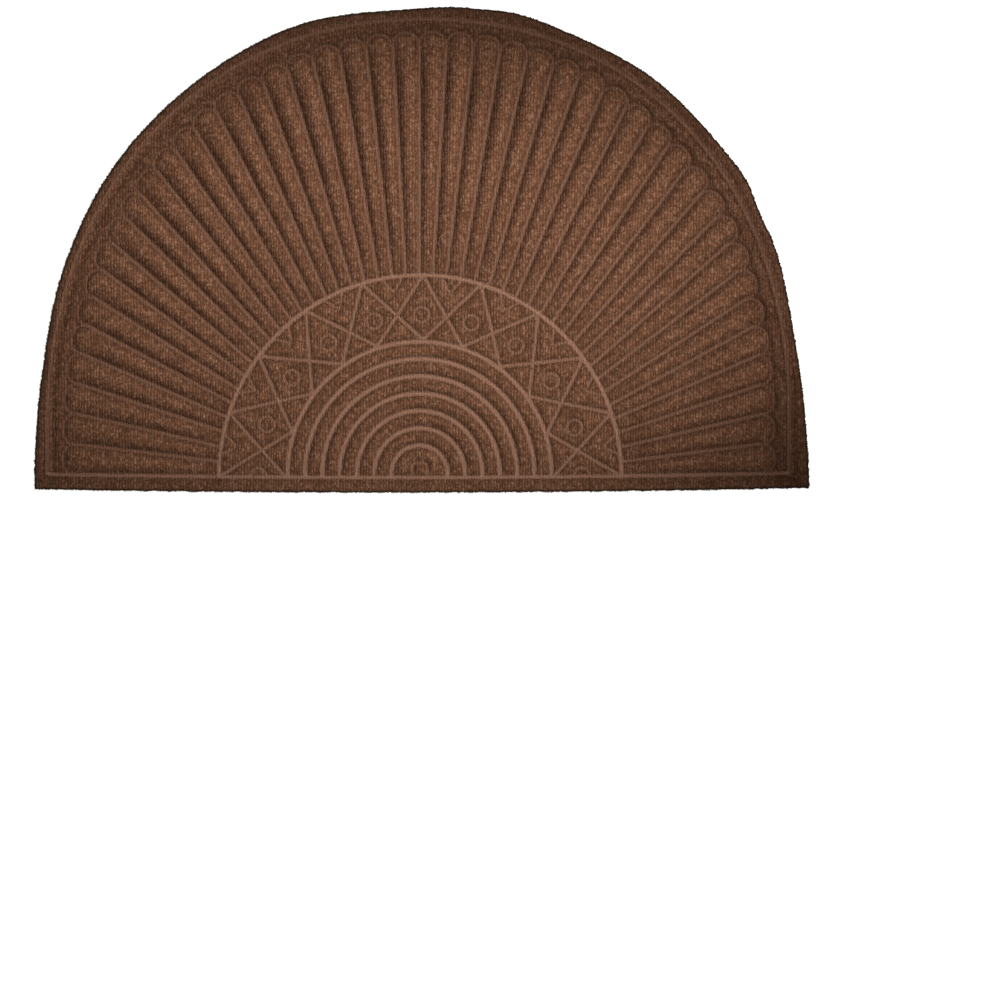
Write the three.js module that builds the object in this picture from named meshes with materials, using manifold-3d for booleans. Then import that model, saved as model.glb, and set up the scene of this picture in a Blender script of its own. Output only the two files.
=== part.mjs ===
// Half round doormat of embossed needle-punched carpet, pressed in one piece.
// Millimetres, +Z up. The origin is the middle of the underside. The straight
// edge faces -Y and the round edge faces +Y. The pattern is set out from the
// fan's centre, which lies on the pressed line along the straight edge.

import * as THREE from "three";
import Module from "manifold-3d";

const wasm = await Module();
wasm.setup();

// Round cut edge: distance from the fan's centre, every few degrees, right to left.
const roundEdge = [
  { degrees: -2.4, radius: 497 },
  { degrees: 4, radius: 495.6 },
  { degrees: 15, radius: 502.1 },
  { degrees: 30, radius: 531.9 },
  { degrees: 37.5, radius: 547.6 },
  { degrees: 45, radius: 566.4 },
  { degrees: 60, radius: 588.8 },
  { degrees: 75, radius: 600.4 },
  { degrees: 82.5, radius: 601.1 },
  { degrees: 90, radius: 597.3 },
  { degrees: 105, radius: 596.9 },
  { degrees: 120, radius: 579.2 },
  { degrees: 135, radius: 556.2 },
  { degrees: 150, radius: 527.4 },
  { degrees: 165, radius: 500.7 },
  { degrees: 176, radius: 493.2 },
  { degrees: 182.2, radius: 493.4 },
];
const roundEdgeSteps = 78;

// Straight cut edge: how far it lies below the fan's centre, its bow and its tilt.
const edgeDrop = 21;
const edgeBow = 5;
const edgeTilt = 0.8;
const edgeHalfWidth = 495;
const straightSteps = 10;

// At each corner: the clear length either side, and a leg that reaches past the straight edge.
const cornerGap = 12;
const cornerLeg = 120;

// Pressed curves: superellipses that stand on straight sides.
const curvePower = 2.13;
const curveSteps = 72;
const borderCurve = { halfWidth: 473.4, top: 583.4, shoulder: 69.8, shift: -2.9, lean: 8.3 };
const petalEndCurve = { halfWidth: 436.5, top: 548, shoulder: 67.4, shift: -2.4, lean: 6.3 };

// Heights above the floor that the mat lies on.
const cutEdgeHeight = 3;
const rootHeight = 4.2;
const lineHeight = 5.2;
const shoulderHeight = 7;
const bandHeight = 7.5;
const crownHeight = 8;
const cutterTop = 9;

// Half widths of the pressed lines.
const borderLineHalf = 2.2;
const petalLineHalf = 2;
const tipLineHalf = 1.5;
const arcLineHalf = 2.6;
const chordLineHalf = 1.9;
const fineLineHalf = 1.3;
const baseLineRise = 18.5;

// Fan of petals.
const petalCount = 44;
const petalSpread = 0.0072;
const tipSteps = 6;

// How far every fourth line between petals is moved to the right, from the right end of the
// base line to the left end: its root in degrees, and its outer end in millimetres.
const petalLeans = [
  { root: 0, end: 0 },
  { root: -0.1, end: 0 },
  { root: -0.1, end: 1.5 },
  { root: -0.15, end: 0.4 },
  { root: -0.5, end: -1.7 },
  { root: -0.75, end: -1.8 },
  { root: 0.1, end: -0.7 },
  { root: 0.7, end: 0.2 },
  { root: 1.2, end: 0.5 },
  { root: 1.3, end: 1.7 },
  { root: 0.6, end: 4.2 },
  { root: 0, end: 0 },
];

// Medallion: an outer circle, a zigzag band, half rings and a small arch.
const circleRadius = 256.8;
const zigzagInnerRadius = 171.1;
const zigzagCount = 10;

// How far the zigzags' corners and buttons are turned to the right, in degrees, on each spoke
// from the right end of the base line to the left end.
const zigzagLeans = [
  { outer: 0, inner: 0, button: 0 },
  { outer: -0.3, inner: 0.3, button: 0.5 },
  { outer: 0, inner: 0.8, button: 0 },
  { outer: 0, inner: 1, button: 0.3 },
  { outer: -0.4, inner: 0.7, button: 0.4 },
  { outer: 0.8, inner: 1.6, button: 0.5 },
  { outer: 1.1, inner: -0.3, button: 1.5 },
  { outer: 1.4, inner: 0.9, button: 1.5 },
  { outer: 0.6, inner: 0.7, button: 1.5 },
  { outer: 0.4, inner: 0.2, button: 0.7 },
  { outer: 0, inner: 0, button: 0 },
];
const chevronHalfAngle = THREE.MathUtils.degToRad(3.2);
const chevronTipRadius = 237.3;
const buttonCentreRadius = 206.5;
const buttonRing = 9.8;
const buttonSteps = 14;
const ringCentre = new THREE.Vector2(-0.9, 3.3);
const innermostRing = 36.1;
const ringPitch = 22.05;
const ringBands = 6;
const ringSteps = 14;
const extraRingSteps = 4;
const rimArcSteps = 4;
const archRadius = 9.3;
const archCentre = new THREE.Vector2(0.5, 7.6);
const archSteps = 8;

// Walls of the raised pads and of the mat's rim, from the bottom up.
const padWall = [
  { inset: -0.6, height: rootHeight },
  { inset: 1.1, height: shoulderHeight },
  { inset: 4.6, height: crownHeight },
];
const domeWall = [
  { inset: -0.6, height: rootHeight },
  { inset: 0.9, height: 6.6 },
  { inset: 3.6, height: crownHeight },
];
const lowWall = [
  { inset: -0.6, height: rootHeight },
  { inset: 1.1, height: shoulderHeight },
  { inset: 2, height: bandHeight },
];
const rimWall = [
  { inset: 0, height: 0 },
  { inset: 0, height: cutEdgeHeight },
  { inset: 1.3, height: lineHeight },
  { inset: 4, height: 6.9 },
  { inset: 8, height: bandHeight },
];
const recessFlare = 2.4;

const { PI } = Math;

const polar = (radius, angle, centre = new THREE.Vector2()) =>
  new THREE.Vector2(Math.cos(angle), Math.sin(angle)).multiplyScalar(radius).add(centre);

const arcPoints = (radius, from, to, steps, centre) =>
  Array.from({ length: steps + 1 }, (_, i) => polar(radius, from + ((to - from) * i) / steps, centre));

const join = (solids) => solids.reduce((sum, solid) => sum.add(solid));

// Height of the straight cut edge, and of the base line's middle, at a place along it.
function edgeY(x) {
  const along = x / edgeHalfWidth;
  return -edgeDrop + edgeBow * along * along + edgeTilt * along;
}

const baseLineY = (x) => edgeY(x) + baseLineRise;

const baseLineTop = (x) => baseLineY(x) + borderLineHalf;

// Moves a closed outline inwards by a distance, corner by corner.
function insetOutline(points, distance) {
  return points.map((point, i) => {
    const along = point.clone().sub(points.at(i - 1)).normalize();
    const onwards = points[(i + 1) % points.length].clone().sub(point).normalize();
    const normals = new THREE.Vector2(-along.y - onwards.y, along.x + onwards.x);
    return point.clone().addScaledVector(normals, distance / (1 + along.dot(onwards)));
  });
}

// Points of the round cut edge, from the right corner to the left one.
function roundEdgePoints() {
  const knots = roundEdge.map(({ degrees, radius }) => polar(radius, THREE.MathUtils.degToRad(degrees)));
  return new THREE.SplineCurve(knots).getSpacedPoints(roundEdgeSteps);
}

// Points of a pressed curve, from its right side to its left side.
function pressedCurve({ halfWidth, top, shoulder, shift, lean }) {
  return Array.from({ length: curveSteps + 1 }, (_, i) => {
    const angle = (PI * i) / curveSteps;
    const across = Math.sign(Math.cos(angle)) * Math.abs(Math.cos(angle)) ** (2 / curvePower);
    const up = Math.max(Math.sin(angle), 0) ** (2 / curvePower);
    return new THREE.Vector2(shift + halfWidth * across + lean * up, shoulder + (top - shoulder) * up);
  });
}

// Part of a curve above the straight edge, moved up by a rise, with a leg at each end.
function curveAbove(curve, rise) {
  const floorY = (x) => edgeY(x) + rise;
  const leg = (point) => new THREE.Vector2(point.x, point.y - cornerLeg);
  const path = [leg(curve[0]), ...curve, leg(curve.at(-1))];
  const crossing = (low, high) => {
    const under = floorY(low.x) - low.y;
    const over = high.y - floorY(high.x);
    return low.clone().lerp(high, under / (under + over));
  };
  const first = path.findIndex((point) => point.y > floorY(point.x));
  const last = path.findLastIndex((point) => point.y > floorY(point.x));
  const right = crossing(path[first - 1], path[first]);
  const left = crossing(path[last + 1], path[last]);
  const isClear = (point) => Math.min(point.distanceTo(left), point.distanceTo(right)) > cornerGap;
  return [right, ...path.slice(first, last + 1).filter(isClear), left];
}

// Closed outline: a curve, then back along the straight edge moved up by a rise.
function closedOutline(curve, rise) {
  const points = curveAbove(curve, rise);
  const right = points[0];
  const left = points.at(-1);
  for (let i = 1; i < straightSteps; i += 1) {
    const x = left.x + ((right.x - left.x) * i) / straightSteps;
    points.push(new THREE.Vector2(x, edgeY(x) + rise));
  }
  return points;
}

// Solid from a stack of inset outlines, closed by a flat face at each end.
function stackedSolid(outline, wall) {
  const count = outline.length;
  const rings = wall.map(({ inset }) => insetOutline(outline, inset));
  const vertices = rings.flatMap((ring, level) => ring.flatMap(({ x, y }) => [x, y, wall[level].height]));
  const triangles = [];
  for (const [a, b, c] of THREE.ShapeUtils.triangulateShape(rings[0], [])) {
    triangles.push(a, c, b);
  }
  for (let level = 0; level < rings.length - 1; level += 1) {
    for (let i = 0; i < count; i += 1) {
      const low = level * count + i;
      const next = level * count + ((i + 1) % count);
      triangles.push(low, next, next + count);
      triangles.push(low, next + count, low + count);
    }
  }
  const top = (rings.length - 1) * count;
  for (const [a, b, c] of THREE.ShapeUtils.triangulateShape(rings.at(-1), [])) {
    triangles.push(top + a, top + b, top + c);
  }
  const mesh = new wasm.Mesh({
    numProp: 3,
    vertProperties: new Float32Array(vertices),
    triVerts: new Uint32Array(triangles),
  });
  return new wasm.Manifold(mesh);
}

// Recess down to the pressed lines, grown past an outline and wider at its top.
const recess = (outline, grow) =>
  stackedSolid(outline, [
    { inset: -grow, height: lineHeight },
    { inset: -grow - recessFlare, height: cutterTop },
  ]);

// Half circle over the outer ends of a petal's lines, without those ends.
function tipArc(start, end) {
  const centre = start.clone().add(end).multiplyScalar(0.5);
  const spoke = start.clone().sub(centre);
  const from = spoke.angle();
  return arcPoints(spoke.length(), from, from + PI, tipSteps, centre).slice(1, -1);
}

// How far the root or the end of a line between petals is moved to the right.
function petalLean(side, i) {
  const place = (i * (petalLeans.length - 1)) / petalCount;
  const row = Math.min(Math.floor(place), petalLeans.length - 2);
  return THREE.MathUtils.lerp(petalLeans[row][side], petalLeans[row + 1][side], place - row);
}

// Outer ends of the lines between petals, a little wider apart near the straight edge.
function petalEnds() {
  const path = new THREE.Path(curveAbove(pressedCurve(petalEndCurve), baseLineRise));
  const length = path.getLength();
  return Array.from({ length: petalCount + 1 }, (_, i) => {
    const share = i / petalCount;
    const spread = petalSpread * Math.sin(2 * PI * share);
    return path.getPoint(share + spread - petalLean("end", i) / length);
  });
}

// Raised petals between the outer circle and the plain band.
function petals(ends) {
  const roots = ends.map((_, i) => {
    const angle = (PI * i) / petalCount - THREE.MathUtils.degToRad(petalLean("root", i));
    const root = polar(circleRadius + arcLineHalf - petalLineHalf, angle);
    const isOnBaseLine = i === 0 || i === petalCount;
    return isOnBaseLine ? root.setY(baseLineY(root.x)) : root;
  });
  return Array.from({ length: petalCount }, (_, i) => {
    const tip = tipArc(ends[i], ends[i + 1]);
    const outline = [roots[i], ends[i], ...tip, ends[i + 1], roots[i + 1]];
    return stackedSolid(insetOutline(outline, petalLineHalf), padWall);
  });
}

// Plain band between the border line and the tips of the petals.
function plainBand(border, ends) {
  const below = new THREE.Vector2(0, -cornerLeg);
  const fan = [ends.at(-1).clone().add(below), ends[0].clone().add(below), ...ends];
  const tips = Array.from({ length: petalCount }, (_, i) =>
    recess([ends[i], ...tipArc(ends[i], ends[i + 1]), ends[i + 1]], tipLineHalf));
  const band = stackedSolid(insetOutline(border, borderLineHalf), lowWall);
  return band.subtract(join([recess(fan, 0), ...tips]));
}

// Arc about the rings' centre that starts and ends at the base line.
function standingArc(radius, steps) {
  const from = Math.asin((baseLineTop(radius) - ringCentre.y) / radius);
  return arcPoints(radius, from, PI - from, steps, ringCentre);
}

// Raised half rings between the pressed arcs.
function halfRings() {
  return Array.from({ length: ringBands }, (_, i) => {
    const inner = innermostRing + ringPitch * i + arcLineHalf;
    const outer = inner + ringPitch - 2 * arcLineHalf;
    const steps = ringSteps + extraRingSteps * i;
    return stackedSolid([...standingArc(outer, steps), ...standingArc(inner, steps).reverse()], padWall);
  });
}

// Outline of the small arch over the middle of the base line.
function archOutline(radius) {
  const foot = (x) => new THREE.Vector2(x, baseLineTop(x));
  const top = arcPoints(radius, 0, PI, archSteps, archCentre);
  return [foot(top[0].x), ...top, foot(top.at(-1).x)];
}

// Raised half disc inside the innermost ring, with the arch pressed into it.
function middleDisc() {
  return stackedSolid(standingArc(innermostRing - arcLineHalf, ringSteps), padWall)
    .subtract(recess(archOutline(archRadius), fineLineHalf))
    .add(stackedSolid(archOutline(archRadius - fineLineHalf), lowWall));
}

// Raised pad with a pressed ring round a button; at the base line half of each shows.
function buttonPad(outline, centre, isHalf) {
  const ring = (radius) => {
    const points = arcPoints(radius, 0, isHalf ? PI : 2 * PI, buttonSteps, centre);
    return isHalf ? points.filter((_, i) => i % 2 === 0) : points.slice(0, -1);
  };
  return stackedSolid(insetOutline(outline, chordLineHalf), padWall)
    .subtract(recess(ring(buttonRing), fineLineHalf))
    .add(stackedSolid(ring(buttonRing - fineLineHalf), isHalf ? lowWall : domeWall));
}

// Point where a line through two points crosses a line through two others.
function crossingOf(start, end, otherStart, otherEnd) {
  const along = end.clone().sub(start);
  const other = otherEnd.clone().sub(otherStart);
  const share = otherStart.clone().sub(start).cross(other) / along.cross(other);
  return start.clone().addScaledVector(along, share);
}

// Two interlaced zigzags: diamonds with buttons, and triangles on either side of them.
function zigzagBand() {
  const angleOf = (lean, i) => (PI * i) / zigzagCount - THREE.MathUtils.degToRad(lean);
  const outerAngles = zigzagLeans.map(({ outer }, i) => angleOf(outer, i));
  const innerAngles = zigzagLeans.map(({ inner }, i) => angleOf(inner, i));
  const outer = outerAngles.map((angle) => polar(circleRadius, angle));
  const inner = innerAngles.map((angle) => polar(zigzagInnerRadius, angle, ringCentre));
  const crossings = outer.slice(1).map((corner, i) => crossingOf(outer[i], inner[i + 1], inner[i], corner));
  const onBaseLine = ({ x }) => new THREE.Vector2(x, baseLineTop(x) - chordLineHalf);

  const pads = crossings.slice(1).map((crossing, before) => {
    const i = before + 1;
    const diamond = [outer[i], crossing, inner[i], crossings[before]];
    return buttonPad(diamond, polar(buttonCentreRadius, angleOf(zigzagLeans[i].button, i)), false);
  });
  const rightHalf = [onBaseLine(inner[0]), onBaseLine(outer[0]), crossings[0]];
  const leftHalf = [onBaseLine(outer.at(-1)), onBaseLine(inner.at(-1)), crossings.at(-1)];
  for (const [half, side] of [[rightHalf, 1], [leftHalf, -1]]) {
    const x = side * buttonCentreRadius;
    pads.push(buttonPad(half, new THREE.Vector2(x, baseLineTop(x)), true));
  }

  crossings.forEach((crossing, i) => {
    const rimRadius = circleRadius - arcLineHalf + chordLineHalf;
    const wedge = [...arcPoints(rimRadius, outerAngles[i], outerAngles[i + 1], rimArcSteps), crossing];
    const middle = (outerAngles[i] + outerAngles[i + 1]) / 2;
    const chevron = [
      polar(rimRadius, middle - chevronHalfAngle),
      polar(rimRadius, middle + chevronHalfAngle),
      polar(chevronTipRadius, middle),
    ];
    const wedgePad = stackedSolid(insetOutline(wedge, chordLineHalf), padWall);
    const chevronPad = stackedSolid(insetOutline(chevron, fineLineHalf), lowWall);
    pads.push(wedgePad.subtract(recess(chevron, fineLineHalf)), chevronPad);

    const ringRadius = innermostRing + ringPitch * ringBands + arcLineHalf - chordLineHalf;
    const ringSide = arcPoints(ringRadius, innerAngles[i + 1], innerAngles[i], rimArcSteps, ringCentre);
    const triangle = [crossing, inner[i + 1], ...ringSide.slice(1, -1), inner[i]];
    pads.push(stackedSolid(insetOutline(triangle, chordLineHalf), lowWall));
  });
  return pads;
}

// Whole mat: the rim with everything inside the border line pressed down, and the pads.
function buildMat() {
  const border = closedOutline(pressedCurve(borderCurve), baseLineRise);
  const ends = petalEnds();
  const pads = [plainBand(border, ends), ...petals(ends), ...zigzagBand(), ...halfRings(), middleDisc()];
  return stackedSolid(closedOutline(roundEdgePoints(), 0), rimWall)
    .subtract(recess(border, borderLineHalf))
    .add(join(pads));
}

function toGeometry(solid) {
  const { vertProperties, triVerts } = solid.getMesh();
  const geometry = new THREE.BufferGeometry();
  geometry.setAttribute("position", new THREE.BufferAttribute(vertProperties, 3));
  geometry.setIndex(new THREE.BufferAttribute(triVerts, 1));
  return geometry;
}

const carpet = new THREE.MeshStandardMaterial({ color: 0x6b4532, roughness: 0.95, metalness: 0 });

const matGeometry = toGeometry(buildMat());
matGeometry.computeBoundingBox();
const middle = matGeometry.boundingBox.getCenter(new THREE.Vector3());

const mat = new THREE.Mesh(matGeometry, carpet);
mat.name = "mat";
mat.position.set(-middle.x, -middle.y, 0);

const doormat = new THREE.Group();
doormat.add(mat);

export default doormat;
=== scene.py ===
"""Half round doormat of embossed needle-punched carpet, dressed for a studio picture from above."""

import logging
import math
from collections.abc import Callable
from dataclasses import dataclass, field
from enum import Enum
from functools import partial
from typing import Any

import bpy
import numpy as np
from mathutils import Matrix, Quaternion, Vector
from mathutils.geometry import delaunay_2d_cdt


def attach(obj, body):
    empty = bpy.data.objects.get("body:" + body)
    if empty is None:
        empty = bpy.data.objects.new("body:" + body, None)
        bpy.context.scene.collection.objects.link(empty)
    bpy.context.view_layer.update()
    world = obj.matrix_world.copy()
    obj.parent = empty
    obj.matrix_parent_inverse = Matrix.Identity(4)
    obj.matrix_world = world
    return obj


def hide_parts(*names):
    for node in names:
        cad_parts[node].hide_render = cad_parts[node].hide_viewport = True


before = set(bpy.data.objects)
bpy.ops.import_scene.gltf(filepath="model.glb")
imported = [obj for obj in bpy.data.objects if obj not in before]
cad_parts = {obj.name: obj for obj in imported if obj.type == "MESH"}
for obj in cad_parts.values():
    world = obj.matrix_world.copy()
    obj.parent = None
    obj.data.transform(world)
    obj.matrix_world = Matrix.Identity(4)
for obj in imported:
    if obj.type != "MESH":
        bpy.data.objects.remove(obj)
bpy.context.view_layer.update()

LOG = logging.getLogger("doormat")
MM = 0.001
# The sockets of a colour mix: its share, the colours it goes from and to, and the mixed colour.
SHARE, FROM, TO, MIXED = 0, 6, 7, 2
# The triangles kept are those inside the outline, and points closer than the gap are joined.
INSIDE, JOIN_GAP = 1, 1e-5
# The least length that is divided by.
TINY = 1e-12
Array = np.ndarray
Socket = bpy.types.NodeSocket
Adder = Callable[..., bpy.types.Node]


def linear(colour: str) -> tuple[float, float, float, float]:
    """Turns an sRGB hex colour to linear light.

    Args:
        colour: The colour as "#rrggbb".

    Returns:
        Red, green, blue and alpha, from 0 to 1.
    """
    parts = [int(colour[i : i + 2], 16) / 255 for i in (1, 3, 5)]
    red, green, blue = [p / 12.92 if p <= 0.04045 else ((p + 0.055) / 1.055) ** 2.4 for p in parts]
    return red, green, blue, 1.0


def add_node(
    material: bpy.types.Material | bpy.types.World,
    kind: str,
    inputs: dict[str | int, Any] | None = None,
    **settings: Any,
) -> bpy.types.Node:
    """Adds one shader node with its settings, values and links.

    Args:
        material: The material or world that owns the node tree.
        kind: The node's type name.
        inputs: Socket name or number to a value, or to the output socket that feeds it.
        settings: Attributes of the node.

    Returns:
        The new node.
    """
    tree = material.node_tree
    node = tree.nodes.new(kind)
    for name, value in settings.items():
        setattr(node, name, value)
    for name, value in (inputs or {}).items():
        if isinstance(value, bpy.types.NodeSocket):
            tree.links.new(value, node.inputs[name])
        else:
            node.inputs[name].default_value = value
    return node


def empty_material(name: str) -> bpy.types.Material:
    """Makes a material with no nodes in it.

    Args:
        name: The material's name.

    Returns:
        The material.
    """
    material = bpy.data.materials.new(name)
    material.use_nodes = True
    material.node_tree.nodes.clear()
    return material


def mesh_object(
    name: str, vertices: Array, faces: list[list[int]], material: bpy.types.Material
) -> bpy.types.Object:
    """Makes a smooth shaded mesh object and links it to the scene.

    Args:
        name: The object's name.
        vertices: Rows of x, y, z in millimetres.
        faces: The vertex numbers of each face.
        material: The finish.

    Returns:
        The object.
    """
    mesh = bpy.data.meshes.new(name)
    mesh.from_pydata((vertices * MM).tolist(), [], faces)
    mesh.polygons.foreach_set("use_smooth", [True] * len(mesh.polygons))
    mesh.materials.append(material)
    mesh.update()
    piece = bpy.data.objects.new(name, mesh)
    bpy.context.scene.collection.objects.link(piece)
    return piece


def polar(radius: float, angle: float) -> Array:
    """Gives the x, y at a radius and an angle in radians."""
    return radius * np.array([math.cos(angle), math.sin(angle)])


def spline(knots: Array, steps: int) -> Array:
    """Draws a smooth curve through points.

    Args:
        knots: Rows of x, y.
        steps: Points from each knot to the next.

    Returns:
        Rows of x, y along the curve, its last knot included.
    """
    before = np.vstack([knots[:1], knots[:-2]])
    start, end = knots[:-1], knots[1:]
    after = np.vstack([knots[2:], knots[-1:]])
    into, out = (end - before) / 2, (after - start) / 2
    t = (np.arange(steps) / steps)[None, :, None]
    start, end, into, out = (row[:, None, :] for row in (start, end, into, out))
    cubic = 2 * start - 2 * end + into + out
    square = -3 * start + 3 * end - 2 * into - out
    curve = ((cubic * t + square) * t + into) * t + start
    return np.vstack([curve.reshape(-1, 2), knots[-1:]])


def spaced(line: Array, gap: float) -> Array:
    """Spaces points evenly along a line.

    Args:
        line: Rows of x, y.
        gap: The wanted distance between points.

    Returns:
        Rows of x, y, both ends included.
    """
    lengths = np.hypot(*np.diff(line, axis=0).T)
    along = np.concatenate([[0], np.cumsum(lengths)])
    places = np.linspace(0, along[-1], max(2, round(along[-1] / gap) + 1))
    return np.column_stack([np.interp(places, along, line[:, i]) for i in (0, 1)])


def arc(centre: Array, radius: float, start: float, end: float, steps: int) -> Array:
    """Draws an arc of a circle.

    Args:
        centre: Its x, y.
        radius: Its radius.
        start: The angle it starts at, in radians.
        end: The angle it ends at.
        steps: How many chords it has.

    Returns:
        Rows of x, y.
    """
    turn = np.linspace(start, end, steps + 1)
    return np.asarray(centre) + radius * np.column_stack([np.cos(turn), np.sin(turn)])


def sideways(line: Array) -> Array:
    """Finds the unit vectors square to a line.

    Args:
        line: Rows of x, y.

    Returns:
        One unit vector for each point, on the left of the line's run.
    """
    run = np.gradient(line, axis=0)
    run /= np.maximum(np.hypot(*run.T)[:, None], TINY)
    return np.column_stack([-run[:, 1], run[:, 0]])


def distance_to_line(points: Array, line: Array) -> Array:
    """Measures how far points lie from a line.

    Args:
        points: Rows of x, y.
        line: Rows of x, y.

    Returns:
        One distance for each point.
    """
    best = np.full(len(points), np.inf)
    for start, end in zip(line[:-1], line[1:]):
        run = end - start
        offset = points - start
        share = np.clip(offset @ run / max(run @ run, TINY), 0, 1)
        best = np.minimum(best, np.hypot(*(offset - share[:, None] * run).T))
    return best


def is_inside(points: Array, loop: Array) -> Array:
    """Tests which points lie inside a closed outline.

    Args:
        points: Rows of x, y.
        loop: Rows of x, y, with the last point joined to the first.

    Returns:
        True or False for each point.
    """
    inside = np.zeros(len(points), dtype=bool)
    x, y = points.T
    for (x0, y0), (x1, y1) in zip(loop, np.roll(loop, -1, axis=0)):
        if y0 != y1:
            spans = (y0 > y) != (y1 > y)
            inside ^= spans & (x < x0 + (y - y0) * (x1 - x0) / (y1 - y0))
    return inside


def patch_noise(points: Array, cell: float, seed: int) -> Array:
    """Gives smooth noise over the plane, the same at each run.

    Args:
        points: Rows of x, y.
        cell: The size of its patches.
        seed: Which noise it is.

    Returns:
        One value from -1 to 1 for each point.
    """
    cells, shift = 64, 1000.5
    grid = np.random.default_rng(seed).uniform(-1, 1, (cells, cells))
    place = points / cell + shift
    low = np.floor(place).astype(int)
    part = place - low
    part = part * part * (3 - 2 * part)
    total = np.zeros(len(points))
    for right in (0, 1):
        for up in (0, 1):
            value = grid[(low[:, 0] + right) % cells, (low[:, 1] + up) % cells]
            total += value * np.abs(1 - right - part[:, 0]) * np.abs(1 - up - part[:, 1])
    return total


class LineKind(Enum):
    """The pressed lines: half width in millimetres, how far fused, and the painted shade beside them."""

    BORDER = (1.8, 0.42, 0.08)
    BASE = (1.8, 0.95, 0.35)
    PETAL = (1.5, 0.42, 0.46)
    TIP = (0.85, 0.28, 0.38)
    ARC = (2.3, 0.95, 0.42)
    CHORD = (1.55, 0.75, 0.42)
    FINE = (0.95, 0.65, 0.36)
    DOT = (1.5, 0.55, 0.3)

    @property
    def half_width(self) -> float:
        """Half the width of the line's floor."""
        return self.value[0]

    @property
    def fused(self) -> float:
        """How far the fibres are melted together, from 0 to 1."""
        return self.value[1]

    @property
    def shade(self) -> float:
        """How much painted shade darkens the pile where it bends down beside the line, from 0 to 1."""
        return self.value[2]


@dataclass(frozen=True)
class PressedLine:
    """One line pressed into the carpet, as rows of x, y in millimetres."""

    kind: LineKind
    points: Array

    def gap(self, places: Array) -> Array:
        """Gives the distance from the line's side, negative on its floor."""
        return distance_to_line(places, self.points) - self.kind.half_width


@dataclass(frozen=True)
class HalfRoundOutline:
    """The mat's cut edge, in millimetres from the fan's centre."""

    # The round side, from right to left: the angle of each knot, and its distance.
    degrees: tuple[float, ...] = (
        -2.4, 4, 15, 30, 37.5, 45, 60, 75, 82.5, 90, 105, 120, 135, 150, 165, 176, 182.2,
    )
    radii: tuple[float, ...] = (
        497, 495.6, 502.1, 531.9, 547.6, 566.4, 588.8, 600.4, 601.1,
        597.3, 596.9, 579.2, 556.2, 527.4, 500.7, 493.2, 493.4,
    )
    # The straight side: how far below the centre it lies, its bow and its tilt.
    drop: float = 21
    bow: float = 5
    tilt: float = 0.8
    half_width: float = 495
    # A leg takes each end of a curve past the straight side, where it is cut off.
    leg: float = 120
    knot_steps: int = 40
    straight_steps: int = 400
    fine_gap: float = 0.5
    point_gap: float = 2.0

    def straight(self, x: Array) -> Array:
        """Gives the height of the straight edge at each x."""
        along = x / self.half_width
        return -self.drop + self.bow * along * along + self.tilt * along

    def above(self, curve: Array, rise: float) -> Array:
        """Ends a curve where it meets the straight edge, moved up by a rise.

        Args:
            curve: Rows of x, y from the right side to the left side.
            rise: How far above the straight edge the curve ends.

        Returns:
            Rows of x, y.
        """
        down = (0, self.leg)
        path = spaced(np.vstack([curve[0] - down, curve, curve[-1] - down]), self.fine_gap)
        return path[path[:, 1] >= self.straight(path[:, 0]) + rise]

    def loop(self) -> Array:
        """Draws the whole cut edge.

        Returns:
            Rows of x, y, from the right corner over the round side and back.
        """
        turn = np.radians(self.degrees)
        knots = np.array(self.radii)[:, None] * np.column_stack([np.cos(turn), np.sin(turn)])
        side = self.above(spline(knots, self.knot_steps), 0)
        x = np.linspace(side[-1, 0], side[0, 0], self.straight_steps)
        base = np.column_stack([x, self.straight(x)])
        return np.vstack([spaced(side, self.point_gap)[:-1], spaced(base, self.point_gap)[:-1]])


@dataclass(frozen=True)
class SideCurve:
    """A curve that stands on straight sides: sizes in millimetres from the fan's centre."""

    half_width: float
    top: float
    shoulder: float
    shift: float
    lean: float
    power: float = 2.13
    steps: int = 144

    def points(self) -> Array:
        """Draws the curve.

        Returns:
            Rows of x, y from its right side to its left side.
        """
        turn = np.linspace(0, math.pi, self.steps + 1)
        cosine, sine = np.cos(turn), np.maximum(np.sin(turn), 0)
        up = sine ** (2 / self.power)
        across = np.sign(cosine) * np.abs(cosine) ** (2 / self.power)
        x = self.shift + self.half_width * across + self.lean * up
        return np.column_stack([x, self.shoulder + (self.top - self.shoulder) * up])


@dataclass(frozen=True)
class ZigzagBand:
    """Two interlaced zigzags with buttons and chevrons, in millimetres from the fan's centre.

    The leans say how far each spoke's corners and button are turned to the right, in degrees,
    from the right end of the base line to the left end.
    """

    bays: int = 10
    inner: float = 171.1
    button_place: float = 206.5
    button_ring: float = 9.8
    ring_chords: int = 6
    dot_length: float = 0.3
    chevron_half_angle: float = 3.2
    chevron_tip: float = 237.3
    outer_leans: tuple[float, ...] = (0, -0.3, 0, 0, -0.4, 0.8, 1.1, 1.4, 0.6, 0.4, 0)
    inner_leans: tuple[float, ...] = (0, 0.3, 0.8, 1, 0.7, 1.6, -0.3, 0.9, 0.7, 0.2, 0)
    button_leans: tuple[float, ...] = (0, 0.5, 0, 0.3, 0.4, 0.5, 1.5, 1.5, 1.5, 0.7, 0)

    def angles(self, leans: tuple[float, ...]) -> list[float]:
        """Gives the angle of each spoke, in radians, after its lean."""
        return [math.pi * i / self.bays - math.radians(lean) for i, lean in enumerate(leans)]


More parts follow.
